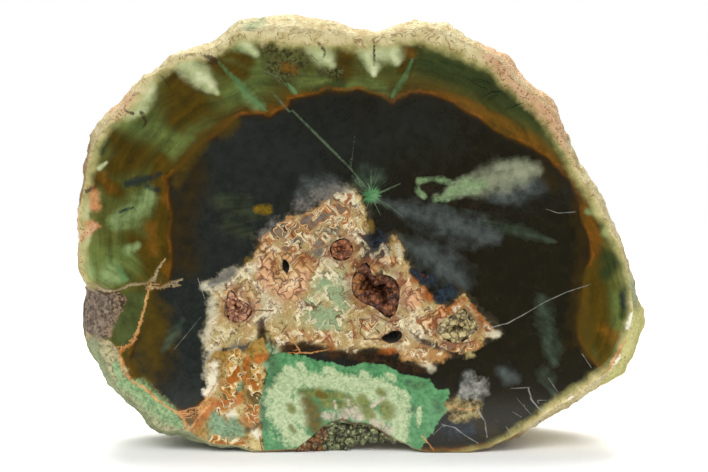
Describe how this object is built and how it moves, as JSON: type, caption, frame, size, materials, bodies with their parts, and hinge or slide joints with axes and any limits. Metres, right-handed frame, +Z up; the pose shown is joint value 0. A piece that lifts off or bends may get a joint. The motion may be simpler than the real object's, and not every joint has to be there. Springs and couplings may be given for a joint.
{
  "type": "petrified wood end cut",
  "caption": "Upright log end of petrified wood with one polished cut face, a rough rind, furrowed sides, a broken back and crystal-lined hollows.",
  "frame": {"origin": "under the middle of the stone, on the surface that it stands on", "axes": "+X along the widest way across the polished face, to the right for a viewer of that face, +Y from the polished face to the broken back, +Z up"},
  "size_m": [0.1438, 0.052, 0.1101],
  "materials": {
    "petrified_wood": "polished on the cut face, rough elsewhere",
    "red_brown_crust": "rough crystals",
    "pink_crust": "rounded crystals",
    "olive_crust": "rounded crystals",
    "russet_crust": "rough crystals",
    "pale_green_crust": "rounded crystals"
  },
  "bodies": {
    "root": {"petrified_log_end": "petrified_wood", "main_vug_crust": "red_brown_crust", "left_vug_crust": "pink_crust", "right_vug_crust": "olive_crust", "upper_vug_crust": "russet_crust", "foot_hollow_crust": "pale_green_crust"}
  },
  "joints": []
}
